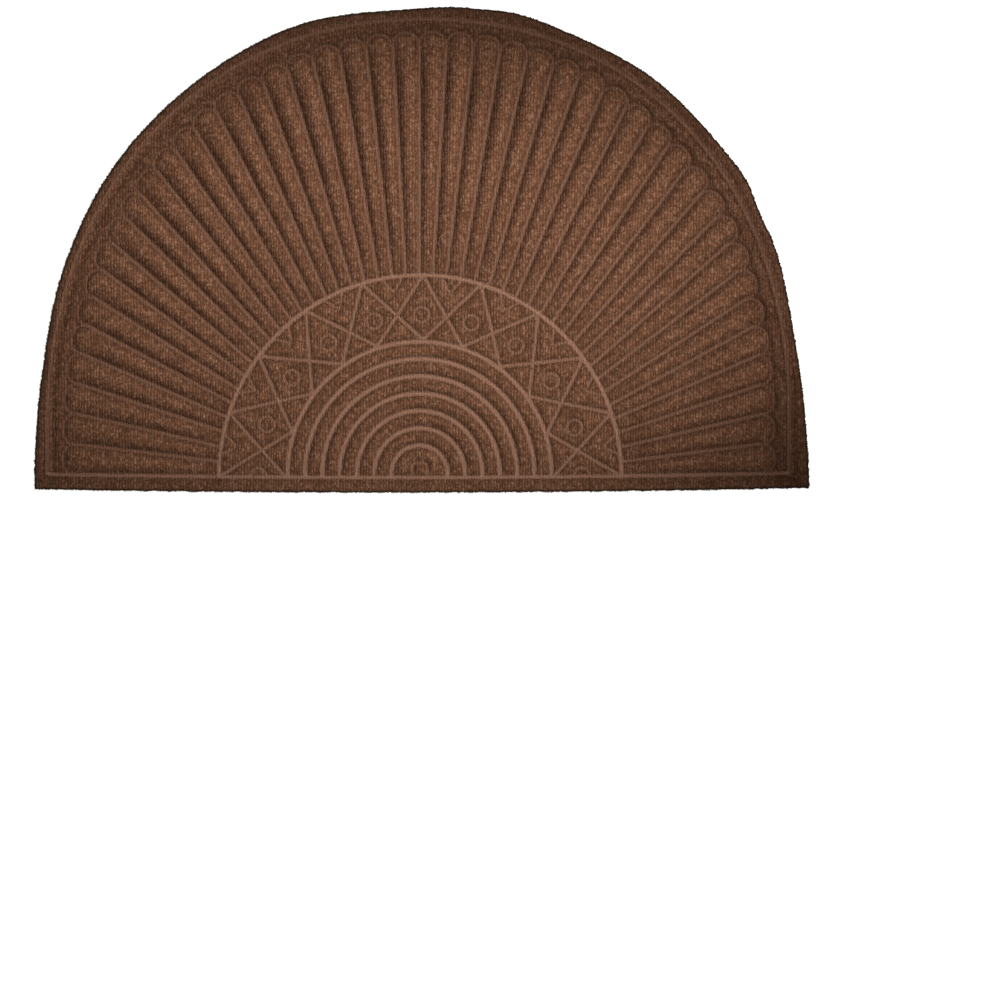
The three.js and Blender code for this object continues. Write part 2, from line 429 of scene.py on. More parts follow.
@dataclass(frozen=True)
class FanPattern:
    """The embossed pattern: a fan of petals round a medallion, in millimetres from its centre.

    The petals' leans say how far every fourth line between petals is moved to the right, from
    the right end of the base line to the left end: its root in degrees, its end in millimetres.
    The tips' rises go the same way, as shares of a tip's half width.
    """

    outline: HalfRoundOutline = field(default_factory=HalfRoundOutline)
    zigzag: ZigzagBand = field(default_factory=ZigzagBand)
    border: SideCurve = SideCurve(473.4, 583.4, 69.8, -2.9, 8.3)
    petal_ends: SideCurve = SideCurve(436.5, 548, 67.4, -2.4, 6.3)
    base_rise: float = 19.5
    petals: int = 44
    petal_spread: float = 0.0072
    root_leans: tuple[float, ...] = (0, -0.1, -0.1, -0.15, -0.5, -0.75, 0.1, 0.7, 1.2, 1.3, 0.6, 0)
    end_leans: tuple[float, ...] = (0, 0, 1.5, 0.4, -1.7, -1.8, -0.7, 0.2, 0.5, 1.7, 4.2, 0)
    tip_rises: tuple[float, ...] = (1, 0.93, 1.08, 0.97, 1.13, 1.2, 1.04, 0.9, 0.78, 0.9, 0.85, 0.93)
    tip_power: float = 2.3
    circle: float = 256.8
    ring_centre: tuple[float, float] = (-0.9, 3.3)
    inner_ring: float = 36.1
    ring_pitch: float = 22.05
    rings: int = 7
    arch: SideCurve = SideCurve(9.6, 16.9, 5, -0.8, 0, power=5)
    # How finely the lines are drawn.
    tip_steps: int = 12
    base_steps: int = 60
    border_gap: float = 8
    arc_chord: float = 3
    least_chords: int = 16
    arch_stride: int = 4

    def base(self, x: Array | float) -> Array:
        """Gives the height of the base line at each x."""
        return self.outline.straight(np.asarray(x, dtype=float)) + self.base_rise

    def leans(self, rows: tuple[float, ...]) -> Array:
        """Spreads the leans of every fourth line over all the lines between petals."""
        return np.interp(np.linspace(0, 1, self.petals + 1), np.linspace(0, 1, len(rows)), rows)

    def ends(self) -> Array:
        """Finds the outer ends of the lines between petals.

        Returns:
            Rows of x, y from right to left.
        """
        path = self.outline.above(self.petal_ends.points(), self.base_rise)
        share = np.arange(self.petals + 1) / self.petals
        share = share + self.petal_spread * np.sin(2 * math.pi * share)
        along = np.concatenate([[0], np.cumsum(np.hypot(*np.diff(path, axis=0).T))])
        places = share * along[-1] - self.leans(self.end_leans)
        return np.column_stack([np.interp(places, along, path[:, i]) for i in (0, 1)])

    def tips(self) -> list[Array]:
        """Draws the rounded end of each petal.

        Returns:
            One line of x, y for each petal.
        """
        ends = self.ends()
        turn = np.linspace(0, math.pi, self.tip_steps + 1)[:, None]
        across = np.sign(np.cos(turn)) * np.abs(np.cos(turn)) ** (2 / self.tip_power)
        up = np.abs(np.sin(turn)) ** (2 / self.tip_power)
        tips = []
        for start, end, rise in zip(ends[:-1], ends[1:], self.leans(self.tip_rises)):
            half = (start - end) / 2
            outward = rise * np.array([-half[1], half[0]])
            tips.append((start + end) / 2 + across * half + up * outward)
        return tips

    def base_points(self) -> Array:
        """Draws the base line between the border's corners.

        Returns:
            Rows of x, y from left to right.
        """
        sides = self.border_points()
        x = np.linspace(sides[-1, 0], sides[0, 0], self.base_steps)
        return np.column_stack([x, self.base(x)])

    def border_points(self) -> Array:
        """Draws the border line over the round side, from right to left."""
        return self.outline.above(self.border.points(), self.base_rise)

    def fan_lines(self) -> list[PressedLine]:
        """Draws the border, the base line, the petals' lines and their tips.

        Returns:
            The pressed lines.
        """
        ends = self.ends()
        turn = np.linspace(0, math.pi, self.petals + 1) - np.radians(self.leans(self.root_leans))
        roots = self.circle * np.column_stack([np.cos(turn), np.sin(turn)])[1:-1]
        sides = [PressedLine(LineKind.PETAL, np.array(pair)) for pair in zip(roots, ends[1:-1])]
        tips = [PressedLine(LineKind.TIP, tip) for tip in self.tips()]
        border = PressedLine(LineKind.BORDER, spaced(self.border_points(), self.border_gap))
        base = PressedLine(LineKind.BASE, self.base_points())
        return [border, base, *sides, *tips]

    def fan_loop(self) -> Array:
        """Draws the outline of all the petals and the medallion, down to the base line."""
        return np.vstack([*self.tips(), self.base_points()])

    def standing_arc(self, centre: tuple[float, float], radius: float) -> PressedLine:
        """Draws a half circle that stands on the base line.

        Args:
            centre: The circle's centre.
            radius: Its radius.

        Returns:
            The pressed line.
        """
        low = math.asin((float(self.base(radius)) - centre[1]) / radius)
        steps = max(self.least_chords, round(radius / self.arc_chord))
        return PressedLine(LineKind.ARC, arc(np.array(centre), radius, low, math.pi - low, steps))

    def zigzag_lines(self) -> list[PressedLine]:
        """Draws the two interlaced zigzags, the chevrons and the buttons' rings.

        Returns:
            The pressed lines.
        """
        band = self.zigzag
        outer_angles = band.angles(band.outer_leans)
        outer = [polar(self.circle, angle) for angle in outer_angles]
        inner = [polar(band.inner, angle) + self.ring_centre for angle in band.angles(band.inner_leans)]
        for row in (outer, inner):
            for corner in (row[0], row[-1]):
                corner[1] = self.base(corner[0])
        lines = []
        half = math.radians(band.chevron_half_angle)
        for i in range(band.bays):
            lines.append(PressedLine(LineKind.CHORD, np.array([outer[i], inner[i + 1]])))
            lines.append(PressedLine(LineKind.CHORD, np.array([inner[i], outer[i + 1]])))
            middle = (outer_angles[i] + outer_angles[i + 1]) / 2
            sides = [polar(self.circle, middle + turn) for turn in (-half, half)]
            arms = [sides[0], polar(band.chevron_tip, middle), sides[1]]
            lines.append(PressedLine(LineKind.FINE, np.array(arms)))
        for i, angle in enumerate(band.angles(band.button_leans)):
            centre = polar(band.button_place, angle)
            is_half = i in (0, band.bays)
            if is_half:
                centre[1] = self.base(centre[0]) + LineKind.BASE.half_width
            parts = 2 if is_half else 4
            for quarter in range(parts):
                start = quarter * math.pi / 2
                ring = arc(centre, band.button_ring, start, start + math.pi / 2, band.ring_chords)
                lines.append(PressedLine(LineKind.FINE, ring))
            if not is_half:
                dot = np.array([centre, centre + (band.dot_length, 0)])
                lines.append(PressedLine(LineKind.DOT, dot))
        return lines

    def lines(self) -> list[PressedLine]:
        """Draws every pressed line.

        Returns:
            The pressed lines.
        """
        circles = [self.standing_arc((0, 0), self.circle)]
        circles += [
            self.standing_arc(self.ring_centre, self.inner_ring + self.ring_pitch * i)
            for i in range(self.rings)
        ]
        arch = self.outline.above(self.arch.points(), self.base_rise)[:: self.arch_stride]
        return [*self.fan_lines(), *self.zigzag_lines(), *circles, PressedLine(LineKind.FINE, arch)]


@dataclass(frozen=True)
class Tint:
    """One tint laid over the pile: the pattern it follows, its limits, its strength and colour."""

    pattern: str
    low: float
    high: float
    share: float
    colour: str


@dataclass(frozen=True)
class RibbedCarpet:
    """Needle-punched polypropylene carpet, brushed into fine ribs and hot pressed."""

    # Its standing fibres scatter the light, so the pile is matt, and heathered with darker, redder
    # and olive fibres. Where the die pressed it they are fused flat, so the lines are smoother,
    # paler and greyer, and the pile that bends down beside them is darkened as painted shade.
    pile: str = "#724a33"
    # The rib tints follow each rib's tone, partly random stretches and partly painted crest light, so
    # hollows are painted darker and crests paler, as painted light and shade.
    tints: tuple[Tint, ...] = (
        Tint("rib_tone_and_painted_crest", 0.55, 0.37, 0.62, "#452818"),
        Tint("rib_tone_and_painted_crest", 0.55, 0.72, 0.58, "#a07660"),
        Tint("fleck", 0.56, 0.71, 0.66, "#bc9b82"),
        Tint("fleck", 0.44, 0.30, 0.64, "#30190e"),
        Tint("heather", 0.54, 0.74, 0.30, "#85502f"),
        Tint("heather", 0.48, 0.30, 0.36, "#564228"),
        Tint("blotch", 0.50, 0.72, 0.30, "#4c2c1a"),
    )
    pressed: str = "#96705c"
    pressed_dark: str = "#835f4c"
    # Painted shade: beside the lines and in the band round the fan the pile is mixed to this colour.
    shade: str = "#2c180d"
    band_shade: float = 0.3
    # The cut edge darkens to this colour: partly its own dark olive fibres, partly painted shade where
    # the edge rolls down.
    rim: str = "#2c1f0e"
    rim_share: float = 0.85
    roughness: float = 0.92
    ior: float = 1.49
    specular: float = 0.15

    # Millimetres across and along the ribs. A fibre is 0.05 mm thick, too fine to show, so a fleck
    # is a bundle of fibres about 1 mm across and 3 mm long. Heather is a tuft or two wide, and a
    # blotch is as large as a trodden patch. The wobble moves the ribs sideways.
    patterns: tuple[tuple[str, float, float], ...] = (
        ("wobble", 9, 22),
        ("fleck", 1.0, 3.2),
        ("heather", 5, 9),
        ("blotch", 50, 60),
    )
    pattern_detail: float = 3.0
    pattern_roughness: float = 0.6

    # Ribs: their pitch and the length of a lighter or darker stretch of one in millimetres, how
    # many pitches they wander, how far apart two ribs' tones are drawn, and how much paler a
    # crest is painted than a hollow, as painted light and shade.
    rib_pitch: float = 3.7
    rib_tone_length: float = 6.0
    rib_tone_detail: float = 2.0
    rib_wander: float = 1.8
    rib_parting: float = 7.3
    crest_painted_light: float = 0.16

    # Where the finish changes: the rib tones that show on a fused line, how far the ribs push a
    # line's sides about, and distances in millimetres from a line or from the cut edge. Over the
    # last two, painted shade darkens the pile beside a line and, in part, at the cut edge.
    grain: tuple[float, float] = (0.35, 0.7)
    unevenness: float = 2.2
    standing: tuple[float, float] = (0.8, 1.6)
    painted_crevice_shade: tuple[float, float] = (11.1, 2.1)
    rim_reach: tuple[float, float] = (4.5, 0.6)

    # Relief too fine for the mesh, in shares of its depth in millimetres.
    relief_depth: float = 1.0
    relief_strength: float = 0.6
    fleck_relief: float = 0.8
    rib_relief: float = 0.35
    line_relief: float = 0.2

    def add_patterns(self, add: Adder) -> dict[str, Socket]:
        """Adds the patterns that the tints and the relief follow.

        The ribs run up the mat, wander a little, and each has lighter and darker stretches. Each
        crest is painted paler than its hollow, as painted light and shade.

        Args:
            add: Adds a node to the material.

        Returns:
            Each pattern's name and its output.
        """
        place = add("ShaderNodeTexCoord").outputs["Object"]
        noise = {"Scale": 1.0, "Detail": self.pattern_detail, "Roughness": self.pattern_roughness}
        pattern = {}
        for name, across, along in self.patterns:
            scale = (1 / (across * MM), 1 / (along * MM), 1 / (across * MM))
            mapped = add("ShaderNodeMapping", {"Vector": place, "Scale": scale})
            pattern[name] = add("ShaderNodeTexNoise", {**noise, "Vector": mapped.outputs[0]}).outputs[0]

        axes = add("ShaderNodeSeparateXYZ", {0: place})
        count = add(
            "ShaderNodeMath", {0: axes.outputs[0], 1: 1 / (self.rib_pitch * MM)}, operation="MULTIPLY"
        )
        inputs = {0: pattern["wobble"], 1: self.rib_wander, 2: count.outputs[0]}
        wander = add("ShaderNodeMath", inputs, operation="MULTIPLY_ADD").outputs[0]
        turn = add("ShaderNodeMath", {0: wander, 1: math.tau}, operation="MULTIPLY")
        wave = add("ShaderNodeMath", {0: turn.outputs[0]}, operation="COSINE")
        rib = add("ShaderNodeMath", {0: wave.outputs[0], 1: 0.5, 2: 0.5}, operation="MULTIPLY_ADD")
        pattern["rib"] = rib.outputs[0]

        number = add("ShaderNodeMath", {0: wander}, operation="ROUND")
        parted = add("ShaderNodeMath", {0: number.outputs[0], 1: self.rib_parting}, operation="MULTIPLY")
        inputs = {0: axes.outputs[1], 1: 1 / (self.rib_tone_length * MM)}
        length = add("ShaderNodeMath", inputs, operation="MULTIPLY")
        along_rib = add("ShaderNodeCombineXYZ", {0: parted.outputs[0], 1: length.outputs[0]})
        inputs = {**noise, "Vector": along_rib.outputs[0], "Detail": self.rib_tone_detail}
        pattern["stretch"] = add("ShaderNodeTexNoise", inputs).outputs[0]
        # Each crest is painted paler and each hollow darker, as painted light and shade.
        inputs = {0: pattern["rib"], 1: self.crest_painted_light, 2: -self.crest_painted_light / 2}
        crest = add("ShaderNodeMath", inputs, operation="MULTIPLY_ADD")
        tone = add("ShaderNodeMath", {0: pattern["stretch"], 1: crest.outputs[0]}, operation="ADD")
        pattern["rib_tone_and_painted_crest"] = tone.outputs[0]
        return pattern

    def add_pile(self, add: Adder, pattern: dict[str, Socket], band: Socket) -> Socket:
        """Adds the standing pile's colour: its tints, and the painted shade in the band round the fan.

        Args:
            add: Adds a node to the material.
            pattern: Each pattern's name and its output.
            band: How much painted shade darkens the band, from 0 to 1.

        Returns:
            The colour.
        """
        colour = linear(self.pile)
        for tint in self.tints:
            inputs = {"Value": pattern[tint.pattern], "From Min": tint.low, "From Max": tint.high}
            amount = add(
                "ShaderNodeMapRange", {**inputs, "To Max": tint.share}, interpolation_type="SMOOTHSTEP"
            )
            inputs = {SHARE: amount.outputs[0], FROM: colour, TO: linear(tint.colour)}
            colour = add("ShaderNodeMix", inputs, data_type="RGBA").outputs[MIXED]
        # Painted shade: the band round the fan is mixed towards the shade colour.
        painted_band_shade = add("ShaderNodeMath", {0: band, 1: self.band_shade}, operation="MULTIPLY")
        inputs = {SHARE: painted_band_shade.outputs[0], FROM: colour, TO: linear(self.shade)}
        return add("ShaderNodeMix", inputs, data_type="RGBA").outputs[MIXED]

    def add_fused(self, add: Adder, pattern: dict[str, Socket], pile: Socket, fused: Socket) -> Socket:
        """Adds the colour of the pressed lines, which keep a trace of the ribs.

        Args:
            add: Adds a node to the material.
            pattern: Each pattern's name and its output.
            pile: The standing pile's colour.
            fused: How far the fibres are melted together, from 0 to 1.

        Returns:
            The colour.
        """
        low, high = self.grain
        inputs = {"Value": pattern["rib_tone_and_painted_crest"], "From Min": low, "From Max": high}
        grain = add("ShaderNodeMapRange", inputs, interpolation_type="SMOOTHSTEP")
        inputs = {SHARE: grain.outputs[0], FROM: linear(self.pressed_dark), TO: linear(self.pressed)}
        smooth = add("ShaderNodeMix", inputs, data_type="RGBA")
        inputs = {SHARE: fused, FROM: pile, TO: smooth.outputs[MIXED]}
        return add("ShaderNodeMix", inputs, data_type="RGBA").outputs[MIXED]

    def add_relief(self, add: Adder, pattern: dict[str, Socket], standing: Socket) -> Socket:
        """Adds the fine relief of ribs and fibres, which is flatter on the pressed lines.

        Args:
            add: Adds a node to the material.
            pattern: Each pattern's name and its output.
            standing: How far the pile stands up, from 0 on a line to 1.

        Returns:
            The surface's direction.
        """
        inputs = {0: pattern["fleck"], 1: self.fleck_relief, 2: pattern["stretch"]}
        rough = add("ShaderNodeMath", inputs, operation="MULTIPLY_ADD")
        inputs = {0: pattern["rib"], 1: self.rib_relief, 2: rough.outputs[0]}
        height = add("ShaderNodeMath", inputs, operation="MULTIPLY_ADD")
        inputs = {0: standing, 1: 1 - self.line_relief, 2: self.line_relief}
        level = add("ShaderNodeMath", inputs, operation="MULTIPLY_ADD")
        raised = add("ShaderNodeMath", {0: height.outputs[0], 1: level.outputs[0]}, operation="MULTIPLY")
        inputs = {"Strength": self.relief_strength, "Distance": self.relief_depth * MM}
        return add("ShaderNodeBump", {**inputs, "Height": raised.outputs[0]}).outputs[0]

    def build(self) -> bpy.types.Material:
        """Makes the material.

        Returns:
            The material.
        """
        material = empty_material("needle_punched_polypropylene_hot_pressed")
        add = partial(add_node, material)
        pattern = self.add_patterns(add)
        face = {
            name: add("ShaderNodeAttribute", attribute_name=name).outputs["Fac"]
            for name in ("line_gap", "edge_gap", "fused", "shade", "band")
        }
        inputs = {0: pattern["rib_tone_and_painted_crest"], 1: self.unevenness, 2: face["line_gap"]}
        gap = add("ShaderNodeMath", inputs, operation="MULTIPLY_ADD").outputs[0]
        low, high = self.standing
        inputs = {"Value": gap, "From Min": low, "From Max": high}
        standing = add("ShaderNodeMapRange", inputs, interpolation_type="SMOOTHSTEP").outputs[0]

        pile = self.add_pile(add, pattern, face["band"])
        fused = self.add_fused(add, pattern, pile, face["fused"])
        # Beside a line the pile is mixed towards the shade colour, as painted shade where it bends down.
        far, near = self.painted_crevice_shade
        inputs = {"Value": gap, "From Min": far, "From Max": near, "To Max": face["shade"]}
        painted_crevice_shade = add("ShaderNodeMapRange", inputs, interpolation_type="SMOOTHSTEP")
        inputs = {SHARE: painted_crevice_shade.outputs[0], FROM: pile, TO: linear(self.shade)}
        shaded = add("ShaderNodeMix", inputs, data_type="RGBA")
        inputs = {SHARE: standing, FROM: fused, TO: shaded.outputs[MIXED]}
        colour = add("ShaderNodeMix", inputs, data_type="RGBA").outputs[MIXED]
        # Near the cut edge the pile is mixed to the rim colour: partly the edge's own dark olive, partly
        # painted shade where it rolls down.
        far, near = self.rim_reach
        inputs = {"Value": face["edge_gap"], "From Min": far, "From Max": near, "To Max": self.rim_share}
        at_rim = add("ShaderNodeMapRange", inputs, interpolation_type="SMOOTHSTEP")
        inputs = {SHARE: at_rim.outputs[0], FROM: colour, TO: linear(self.rim)}
        colour = add("ShaderNodeMix", inputs, data_type="RGBA").outputs[MIXED]

        shader = add(
            "ShaderNodeBsdfPrincipled",
            {
                "Base Color": colour,
                "Roughness": self.roughness,
                "IOR": self.ior,
                "Specular IOR Level": self.specular,
                "Normal": self.add_relief(add, pattern, standing),
            },
        )
        add("ShaderNodeOutputMaterial", {"Surface": shader.outputs[0]})
        return material


@dataclass(frozen=True)
class CutFibre:
    """Polypropylene fibres pulled loose where the mat was cut."""

    # Loose ends catch little light, so the edge looks dull, dark and a little olive: the dark tone
    # is painted shade as well as the fibres' own olive. One fibre is too fine to show, so the tone
    # changes from tuft to tuft, about every 3.8 mm.
    dark: str = "#2e2010"
    light: str = "#6b4d2c"
    speckle_size: float = 3.8
    speckle_detail: float = 2.0
    roughness: float = 0.85

    def build(self) -> bpy.types.Material:
        """Makes the material.

        Returns:
            The material.
        """
        material = empty_material("cut_polypropylene_fibre")
        add = partial(add_node, material)
        place = add("ShaderNodeTexCoord").outputs["Object"]
        inputs = {"Scale": 1 / (self.speckle_size * MM), "Detail": self.speckle_detail}
        speckle = add("ShaderNodeTexNoise", {**inputs, "Vector": place})
        inputs = {SHARE: speckle.outputs[0], FROM: linear(self.dark), TO: linear(self.light)}
        tone = add("ShaderNodeMix", inputs, data_type="RGBA").outputs[MIXED]
        shader = add("ShaderNodeBsdfPrincipled", {"Base Color": tone, "Roughness": self.roughness})
        add("ShaderNodeOutputMaterial", {"Surface": shader.outputs[0]})
        return material


@dataclass
class PressedMat:
    """The mat itself: one sheet of carpet with the pattern pressed into its face."""

    pattern: FanPattern = field(default_factory=FanPattern)
    finish: RibbedCarpet = field(default_factory=RibbedCarpet)
    # The pile rises from a line's floor by a small step, then over a soft shoulder with a steady
    # slope, up to the height where its crown levels off. Lines within reach hold it down.
    floor_height: float = 4.2
    wall_rise: float = 0.25
    wall_run: float = 0.8
    shoulder: float = 3.8
    pillow_slope: float = 0.52
    crown: float = 4
    top_height: float = 8.1
    band_height: float = 6.4
    crowd_reach: float = 45
    least_gap: float = 0.05
    # The band round the fan drops to a shelf inside the border line, and is painted darkest there,
    # as painted shade.
    belt_inset: float = 8.7
    belt_spread: float = 4.5
    shelf_drop: float = 1.95
    shelf_run: float = 1.15
    least_band_shade: float = 0.45
    # The face swells a little, but not beside a line.
    swell: float = 0.10
    swell_size: float = 31
    swell_fade: float = 4
    # The highest that the face stands at each distance from the cut edge.
    rim_insets: tuple[float, ...] = (0, 0.6, 1.3, 2.6, 4, 8, 14, 18)
    rim_heights: tuple[float, ...] = (2.5, 3.0, 3.2, 3.5, 3.75, 4.4, 5.6, 9.0)
    # Rows of points beside the lines and inside the cut edge, and the even fill between them.
    cross_gaps: tuple[float, ...] = (-0.8, 0, 0.6, 1.5, 3.0, 5.2)
    edge_rows: tuple[float, ...] = (0.7, 1.6, 3, 5.2, 8, 11.5)
    along_gap: float = 3.4
    fill_gap: float = 4.2
    fill_jitter: float = 0.3
    edge_clear: float = 0.5
    point_clear: float = 0.75
    # The cut edge is worn a little uneven.
    edge_wear: float = 0.6
    edge_wear_length: float = 3.0
    seed: int = 4

    def __post_init__(self) -> None:
        """Draws the outline and the lines once, and finds the middle of the mat."""
        loop = self.pattern.outline.loop()
        wear = self.edge_wear * patch_noise(loop, self.edge_wear_length, self.seed)
        self.loop = loop + sideways(np.vstack([loop[-1:], loop, loop[:1]]))[1:-1] * wear[:, None]
        self.middle = (loop.min(axis=0) + loop.max(axis=0)) / 2
        self.lines = self.pattern.lines()

    def line_gaps(self, points: Array) -> tuple[Array, Array, Array]:
        """Measures the distance from the pressed lines.

        Args:
            points: Rows of x, y in millimetres.

        Returns:
            The distance from the side of the nearest line, the height of an arch of slope 1
            between the lines around, and the nearest line's number.
        """
        reach = self.crowd_reach
        nearest = np.full(len(points), reach)
        which = np.zeros(len(points), dtype=int)
        crowd = np.full(len(points), 1 / reach)
        for number, line in enumerate(self.lines):
            low, high = line.points.min(axis=0) - reach, line.points.max(axis=0) + reach
            near = np.flatnonzero(((points > low) & (points < high)).all(axis=1))
            gap = line.gap(points[near])
            closer = near[gap < nearest[near]]
            which[closer] = number
            nearest[near] = np.minimum(nearest[near], gap)
            crowd[near] += np.maximum(1 / np.maximum(gap, self.least_gap) - 1 / reach, 0)
        return nearest, 1 / crowd, which

    def heights(self, points: Array) -> dict[str, Array]:
        """Works out the face's height.

        Args:
            points: Rows of x, y in millimetres.

        Returns:
            Each point's height, its distance from the nearest line and from the cut edge, how
            far that line is fused and how much painted shade lies beside it, and how much painted
            shade darkens the band round the fan there.
        """
        gap, arch, which = self.line_gaps(points)
        edge = distance_to_line(points, np.vstack([self.loop, self.loop[:1]])[::2])
        above = np.maximum(gap, 0)
        wall = self.floor_height + self.wall_rise * (1 - np.exp(-above / self.wall_run))
        in_fan = is_inside(points, self.pattern.fan_loop())
        top = np.where(in_fan, self.top_height, self.band_height) - wall
        share = np.clip(arch / self.shoulder, 0, 1)
        curve = self.shoulder * (share**3 - share**4 / 2) + np.maximum(arch - self.shoulder, 0)
        rise = self.pillow_slope * curve
        height = wall + rise / (1 + (rise / top) ** self.crown) ** (1 / self.crown)
        beside = np.clip(above / self.swell_fade, 0, 1)
        height += self.swell * patch_noise(points, self.swell_size, self.seed) * beside
        border = self.lines[0]
        from_belt = border.gap(points) - self.belt_inset
        shelf = np.where(in_fan, 0.0, 1 / (1 + np.exp(from_belt / self.shelf_run)))
        height -= self.shelf_drop * shelf * beside
        rim = np.interp(edge, self.rim_insets, self.rim_heights)
        # The belt is where the band's painted shade is darkest.
        belt = np.exp(-((from_belt / self.belt_spread) ** 2))
        return {
            "height": np.minimum(height, rim),
            "line_gap": gap,
            "edge_gap": edge,
            "fused": np.array([line.kind.fused for line in self.lines])[which],
            "shade": np.array([line.kind.shade for line in self.lines])[which],
            "band": np.where(in_fan, 0.0, self.least_band_shade + (1 - self.least_band_shade) * belt),
        }

    def face_points(self) -> Array:
        """Chooses the face's points: rows beside every line and the cut edge, and an even fill.

        Returns:
            Rows of x, y in millimetres, inside the cut edge.
        """
        rows = []
        for line in self.lines:
            path = spaced(line.points, self.along_gap)
            side = sideways(path)
            rows.append(path)
            for gap in self.cross_gaps:
                reach = line.kind.half_width + gap
                rows += [path + side * reach, path - side * reach]
        closed = np.vstack([self.loop, self.loop[:1]])
        path = spaced(closed, self.along_gap)[:-1]
        side = sideways(np.vstack([path[-1:], path, path[:1]]))[1:-1]
        rows += [path + side * inset for inset in self.edge_rows]
        aligned = np.vstack(rows)

        low, high = self.loop.min(axis=0), self.loop.max(axis=0)
        x = np.arange(low[0], high[0], self.fill_gap)
        y = np.arange(low[1], high[1], self.fill_gap * math.sqrt(3) / 2)
        fill = np.stack(np.meshgrid(x, y), axis=-1)
        fill[1::2, :, 0] += self.fill_gap / 2
        fill = fill.reshape(-1, 2)
        random = np.random.default_rng(self.seed)
        fill += random.uniform(-self.fill_jitter, self.fill_jitter, fill.shape)
        gap = self.line_gaps(fill)[0]
        fill = fill[gap > self.cross_gaps[-1] + self.fill_gap / 2]

        points = np.vstack([aligned, fill])
        points = points[is_inside(points, self.loop)]
        points = points[distance_to_line(points, closed[::2]) > self.edge_clear]
        cell = np.round(points / self.point_clear).astype(int)
        _, first = np.unique(cell, axis=0, return_index=True)
        return points[np.sort(first)]

    def build(self) -> bpy.types.Object:
        """Makes the mat as one closed mesh and dresses it.

        Returns:
            The mat.
        """
        count = len(self.loop)
        ring = list(range(count))
        points = np.vstack([self.loop, self.face_points()]).tolist()
        made = delaunay_2d_cdt(points, [], [ring], INSIDE, JOIN_GAP)
        face = np.array([tuple(v) for v in made[0]])
        under = delaunay_2d_cdt(self.loop.tolist(), [], [ring], INSIDE, JOIN_GAP)
        base = np.array([tuple(v) for v in under[0]])
        made_face = self.heights(face)
        top = np.column_stack([face - self.middle, made_face.pop("height")])
        bottom = np.column_stack([base - self.middle, np.zeros(len(base))])

        start = len(face)
        beneath = np.array(under[2])[:, ::-1] + start
        here = np.arange(count)
        onward = np.roll(here, -1)
        walls = np.column_stack([here, here + start, onward + start, onward])
        faces = list(made[2]) + beneath.tolist() + walls.tolist()
        piece = mesh_object("mat_carpet", np.vstack([top, bottom]), faces, self.finish.build())
        for name, values in made_face.items():
            attribute = piece.data.attributes.new(name, "FLOAT", "POINT")
            attribute.data.foreach_set("value", np.concatenate([values, np.zeros(len(base))]))
        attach(piece, "root")
        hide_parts("mat")
        return piece


@dataclass
class EdgeFibres:
    """Loose fibres that stand out of the cut edge, in millimetres."""

    mat: PressedMat
    finish: CutFibre = field(default_factory=CutFibre)
    count: int = 6000
    length: tuple[float, float] = (1.0, 2.9)
    thickness: tuple[float, float] = (0.5, 1.2)
    # Where the fibres stand: how finely the cut edge is divided, and their roots' depth and height.
    root_gap: float = 0.4
    root_depth: float = 0.5
    root_height: tuple[float, float] = (0.6, 4.4)
    # How they lean: up or down, and every way. Their tips stay off the floor.
    climb: tuple[float, float] = (-0.25, 0.35)
    scatter: float = 0.55
    lowest_tip: float = 0.2
    corner_turns: tuple[float, float, float] = (0.5, 2.6, 4.7)
    seed: int = 11

    def build(self) -> bpy.types.Object:
        """Makes each fibre as a thin closed spike and dresses them all.

        Returns:
            The fibres, as one piece.
        """
        random = np.random.default_rng(self.seed)
        closed = np.vstack([self.mat.loop, self.mat.loop[:1]])
        loop = spaced(closed, self.root_gap) - self.mat.middle
        out = -sideways(loop)
        pick = random.integers(1, len(loop) - 1, self.count)
        height = random.uniform(*self.root_height, self.count)
        root = np.column_stack([loop[pick] - out[pick] * self.root_depth, height])
        aim = np.column_stack([out[pick], random.uniform(*self.climb, self.count)])
        aim[:, :2] += random.normal(0, self.scatter, (self.count, 2))
        aim /= np.linalg.norm(aim, axis=1)[:, None]
        reach = random.uniform(*self.length, self.count)[:, None]
        thick = random.uniform(*self.thickness, self.count)[:, None]
        tip = root + aim * reach
        tip[:, 2] = np.maximum(tip[:, 2], self.lowest_tip)
        side = np.cross(aim, (0, 0, 1))
        side /= np.linalg.norm(side, axis=1)[:, None]
        lift = np.cross(side, aim)
        turns = [math.cos(turn) * side + math.sin(turn) * lift for turn in self.corner_turns]
        corners = [root + thick * turn / 2 for turn in turns]
        vertices = np.stack([*corners, tip], axis=1).reshape(-1, 3)
        first = 4 * np.arange(self.count)[:, None]
        faces = np.vstack([first + f for f in ([0, 2, 1], [0, 1, 3], [1, 2, 3], [2, 0, 3])])
        piece = mesh_object("edge_fibres", vertices, faces.tolist(), self.finish.build())
        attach(piece, "root")
        return piece


